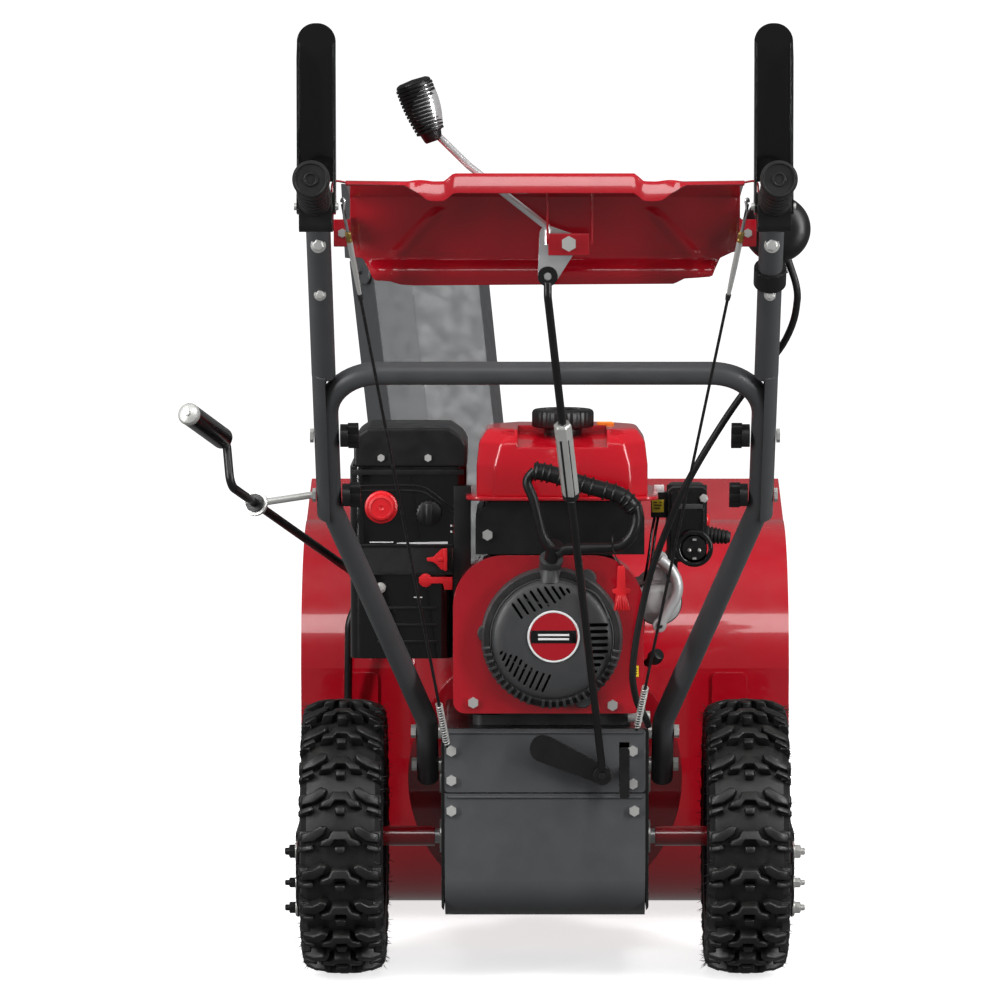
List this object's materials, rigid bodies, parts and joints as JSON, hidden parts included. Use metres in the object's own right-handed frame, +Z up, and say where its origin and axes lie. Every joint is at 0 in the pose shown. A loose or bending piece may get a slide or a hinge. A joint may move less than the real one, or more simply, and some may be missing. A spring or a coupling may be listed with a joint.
{
  "type": "snow blower",
  "caption": "Walk-behind two-stage petrol snow blower with wheels, auger and impeller, turning chute, engine, handle and hand controls.",
  "frame": {"origin": "on the ground, under the middle of the wheel axle", "axes": "+X to the operator's right, +Y forward (the auger's side), +Z up"},
  "size_m": [0.7264, 1.358, 1.1347],
  "materials": {
    "black_plastic": "matte",
    "cast": "rough",
    "chrome": "polished",
    "gloss_black": "gloss",
    "grey_plastic": "satin",
    "painted_black": "satin",
    "painted_grey": "satin",
    "painted_red": "gloss",
    "red_plastic": "gloss",
    "rubber": "matte",
    "steel": "satin",
    "tyre": "matte",
    "zinc": "satin"
  },
  "bodies": {
    "root": {"frame_box": "painted_black", "rear_cover_upper": "painted_grey", "rear_cover_lower": "painted_grey", "bearings": "zinc", "auger_housing": "painted_red", "impeller_housing": "painted_red", "wear_parts": "painted_black", "chute_base": "painted_black", "belt_cover": "black_plastic", "belts": "rubber", "lower_handle": "painted_grey", "upper_handles": "painted_grey", "handle_grips": "rubber", "handle_brackets": "painted_black", "dash_panel": "painted_red", "fasteners": "zinc", "clamp_knobs": "black_plastic", "light_cable": "rubber", "engine_block": "cast", "engine_shroud": "painted_red", "engine_top_cover": "black_plastic", "recoil_cover": "painted_grey", "fuel_tank": "red_plastic", "carb_cover": "black_plastic", "carb_cover_lid": "black_plastic", "muffler": "steel", "electric_starter": "painted_black", "clean_out_tool": "black_plastic", "auger_gearbox": "cast"},
    "wheels": {"axle": "steel", "wheel_rims": "painted_red", "tyres": "tyre"},
    "impeller_set": {"impeller": "painted_red", "impeller_shaft": "steel"},
    "auger_set": {"auger_shaft": "steel", "auger_flights": "painted_red"},
    "crankshaft": {"crankshaft": "steel"},
    "drive_disc": {"drive_disc": "steel"},
    "hex_shaft": {"hex_shaft": "steel"},
    "friction_wheel": {"friction_wheel": "rubber"},
    "chute": {"chute": "grey_plastic"},
    "deflector": {"deflector": "grey_plastic"},
    "chute_crank": {"chute_crank": "painted_black"},
    "crank_grip": {"crank_grip": "gloss_black"},
    "auger_lever": {"auger_lever": "gloss_black"},
    "drive_lever": {"drive_lever": "gloss_black"},
    "auger_wire": {"auger_wire": "painted_black"},
    "drive_wire": {"drive_wire": "painted_black"},
    "clutch_arm": {"clutch_arm": "painted_black"},
    "shift_lever": {"shift_lever": "chrome"},
    "shift_arm": {"shift_arm": "painted_black"},
    "shift_rod": {"shift_rod": "painted_black"},
    "recoil_handle": {"recoil_handle": "black_plastic"},
    "fuel_cap": {"fuel_cap": "black_plastic"},
    "primer_bulb": {"primer_bulb": "red_plastic"},
    "choke_knob": {"choke_knob": "black_plastic"},
    "throttle_lever": {"throttle_lever": "red_plastic"},
    "fuel_valve": {"fuel_valve": "red_plastic"},
    "start_button": {"start_button": "red_plastic"},
    "headlight": {"headlight": "black_plastic"}
  },
  "joints": [
    {"name": "wheels_spin", "type": "hinge", "parent": "root", "child": "wheels", "pos_m": [0, 0, 0.165], "axis": [1, 0, 0], "continuous": true},
    {"name": "impeller_spin", "type": "hinge", "parent": "root", "child": "impeller_set", "pos_m": [0, 0.2, 0.213], "axis": [0, 1, 0], "continuous": true},
    {"name": "auger_spin", "type": "hinge", "parent": "root", "child": "auger_set", "pos_m": [0, 0.5, 0.175], "axis": [1, 0, 0], "continuous": true},
    {"name": "crank_spin", "type": "hinge", "parent": "root", "child": "crankshaft", "pos_m": [0.008, 0, 0.421], "axis": [0, 1, 0], "continuous": true},
    {"name": "disc_spin", "type": "hinge", "parent": "root", "child": "drive_disc", "pos_m": [0, 0.06, 0.232], "axis": [0, 1, 0], "continuous": true},
    {"name": "hex_spin", "type": "hinge", "parent": "root", "child": "hex_shaft", "pos_m": [0, 0.0015, 0.235], "axis": [1, 0, 0], "continuous": true},
    {"name": "gear_shift", "type": "slide", "parent": "hex_shaft", "child": "friction_wheel", "axis": [1, 0, 0], "range_m": [-0.062, 0.012]},
    {"name": "chute_turn", "type": "hinge", "parent": "root", "child": "chute", "pos_m": [-0.105, 0.235, 0.43], "axis": [0, 0, 1], "range_deg": [-110, 75]},
    {"name": "deflector_tilt", "type": "hinge", "parent": "chute", "child": "deflector", "pos_m": [-0.15375, 0.33955, 0.828], "axis": [0.9063, 0.4226, 0], "range_deg": [-45, 4]},
    {"name": "crank_turn", "type": "hinge", "parent": "root", "child": "chute_crank", "pos_m": [-0.33, -0.275, 0.59], "axis": [0.2689, 0.9122, -0.3092], "range_deg": [-1200, 1760]},
    {"name": "grip_spin", "type": "hinge", "parent": "chute_crank", "child": "crank_grip", "pos_m": [-0.35887, -0.3386, 0.66619], "axis": [0.2689, 0.9122, -0.3092], "continuous": true},
    {"name": "auger_lever_pull", "type": "hinge", "parent": "root", "child": "auger_lever", "pos_m": [-0.245, -0.56, 0.9377], "axis": [1, 0, 0], "range_deg": [0, 66], "stiffness_Nm_per_rad": 2},
    {"name": "drive_lever_pull", "type": "hinge", "parent": "root", "child": "drive_lever", "pos_m": [0.245, -0.56, 0.9377], "axis": [1, 0, 0], "range_deg": [0, 66], "stiffness_Nm_per_rad": 2},
    {"name": "auger_wire_pull", "type": "slide", "parent": "root", "child": "auger_wire", "axis": [-0.1249, -0.5285, 0.8397], "range_m": [0, 0.0205]},
    {"name": "drive_wire_pull", "type": "slide", "parent": "root", "child": "drive_wire", "axis": [0.1517, -0.524, 0.8381], "range_m": [0, 0.0205]},
    {"name": "clutch_arm_lift", "type": "hinge", "parent": "root", "child": "clutch_arm", "pos_m": [0.093, -0.1, 0.256], "axis": [-1, 0, 0], "range_deg": [0, 16]},
    {"name": "shift_select", "type": "hinge", "parent": "root", "child": "shift_lever", "pos_m": [0.026, -0.48, 0.895], "axis": [0, 1, 0], "range_deg": [-8, 38]},
    {"name": "shift_arm_turn", "type": "hinge", "parent": "root", "child": "shift_arm", "pos_m": [-0.002, -0.14, 0.29], "axis": [0, 1, 0], "range_deg": [-20.5, 4.5]},
    {"name": "shift_rod_swing", "type": "hinge", "parent": "shift_arm", "child": "shift_rod", "pos_m": [0.067, -0.151, 0.259], "axis": [0, 1, 0], "range_deg": [-4, 18]},
    {"name": "recoil_pull", "type": "slide", "parent": "root", "child": "recoil_handle", "axis": [-0.579, -0.406, 0.707], "range_m": [0, 0.4], "stiffness_N_per_m": 8},
    {"name": "fuel_cap_turn", "type": "hinge", "parent": "root", "child": "fuel_cap", "pos_m": [0.021, -0.075, 0.662], "axis": [0, 0, 1], "range_deg": [0, 90]},
    {"name": "primer_press", "type": "slide", "parent": "root", "child": "primer_bulb", "axis": [0, 1, 0], "range_m": [0, 0.006], "stiffness_N_per_m": 400},
    {"name": "choke_turn", "type": "hinge", "parent": "root", "child": "choke_knob", "pos_m": [-0.136, -0.1, 0.563], "axis": [0, 1, 0], "range_deg": [0, 90]},
    {"name": "throttle_slide", "type": "slide", "parent": "root", "child": "throttle_lever", "axis": [1, 0, 0], "range_m": [-0.075, 0]},
    {"name": "fuel_valve_turn", "type": "hinge", "parent": "root", "child": "fuel_valve", "pos_m": [-0.14, -0.1, 0.484], "axis": [0, 1, 0], "range_deg": [0, 90]},
    {"name": "start_press", "type": "slide", "parent": "root", "child": "start_button", "axis": [-1, 0, 0], "range_m": [0, 0.003], "stiffness_N_per_m": 600},
    {"name": "headlight_tilt", "type": "hinge", "parent": "root", "child": "headlight", "pos_m": [0.257, -0.42, 0.862], "axis": [1, 0, 0], "range_deg": [-15, 15]}
  ],
  "couplings": [
    {"joint": "auger_spin", "follows": "impeller_spin", "ratio": 0.1},
    {"joint": "hex_spin", "follows": "wheels_spin", "ratio": -3},
    {"joint": "crank_turn", "follows": "chute_turn", "ratio": -16},
    {"joint": "auger_wire_pull", "follows": "auger_lever_pull", "m_per_rad": 0.0175},
    {"joint": "drive_wire_pull", "follows": "drive_lever_pull", "m_per_rad": 0.0175},
    {"joint": "clutch_arm_lift", "follows": "drive_lever_pull", "ratio": 0.23},
    {"joint": "shift_arm_turn", "follows": "shift_select", "ratio": -0.47},
    {"joint": "shift_rod_swing", "follows": "shift_select", "ratio": 0.4},
    {"joint": "gear_shift", "follows": "shift_select", "m_per_rad": -0.08}
  ]
}
